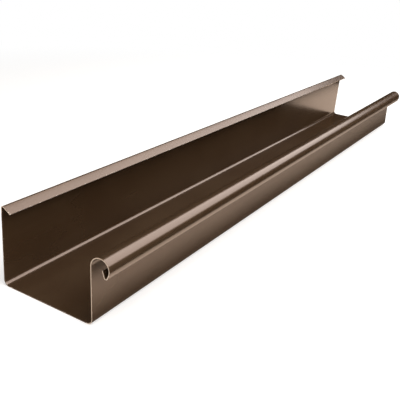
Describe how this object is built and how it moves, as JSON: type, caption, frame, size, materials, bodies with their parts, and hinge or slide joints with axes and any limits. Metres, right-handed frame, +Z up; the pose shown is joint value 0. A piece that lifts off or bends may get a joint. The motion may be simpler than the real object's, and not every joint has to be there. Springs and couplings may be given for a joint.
{
  "type": "gutter section",
  "caption": "One-metre section of brown coated box gutter with a rolled front bead and an inward flange on the taller rear wall.",
  "frame": {"origin": "centre of the bottom's underside", "axes": "+X along the gutter, -Y towards the front with the bead, +Y towards the rear wall, +Z up"},
  "size_m": [1, 0.1411, 0.0925],
  "materials": {
    "brown_coated_sheet": "satin"
  },
  "bodies": {
    "root": {"gutter_section": "brown_coated_sheet"}
  },
  "joints": []
}
